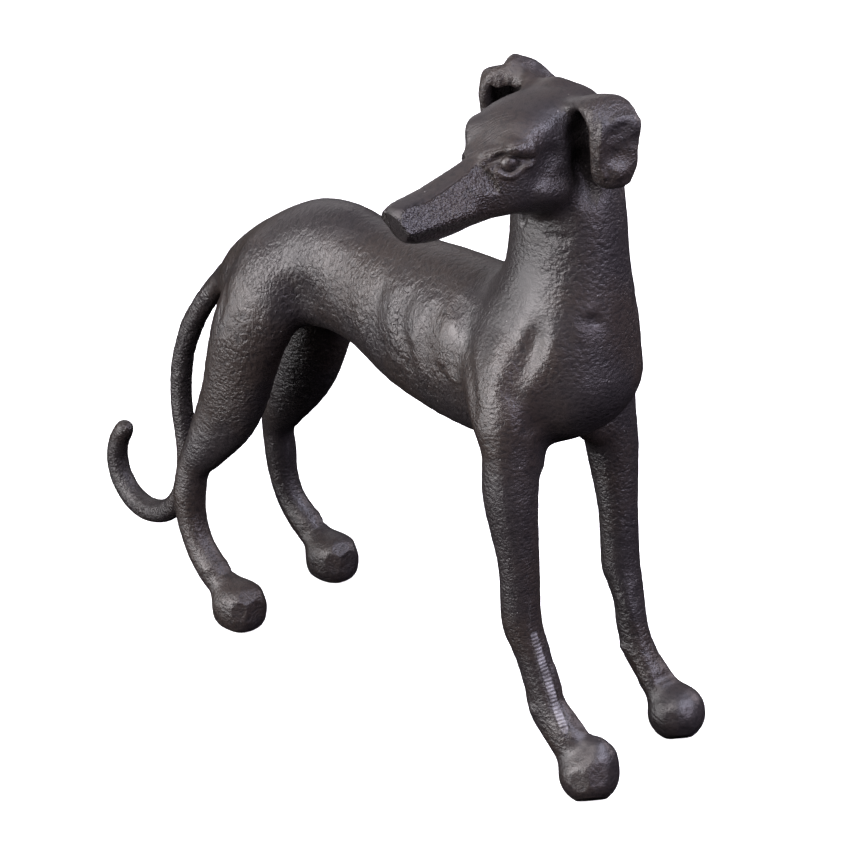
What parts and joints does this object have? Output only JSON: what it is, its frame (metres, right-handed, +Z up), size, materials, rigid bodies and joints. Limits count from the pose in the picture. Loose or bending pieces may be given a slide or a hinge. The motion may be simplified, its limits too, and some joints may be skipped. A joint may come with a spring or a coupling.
{
  "type": "greyhound sculpture",
  "caption": "Cast iron greyhound standing on its own ball paws, head turned to its right, long slender legs, tucked belly and a thin tail that curls up at the tip.",
  "frame": {"origin": "centre of the bounding box at the level of the soles", "axes": "+Z up, the dog's body faces -Y, its left side is +X and its head looks to -X"},
  "size_m": [0.1262, 0.3346, 0.2902],
  "materials": {
    "cast_iron": "sand cast iron with a fine wrinkled grain, brown-black, waxed to a dull satin"
  },
  "bodies": {
    "root": {"greyhound": "cast_iron"}
  },
  "joints": []
}
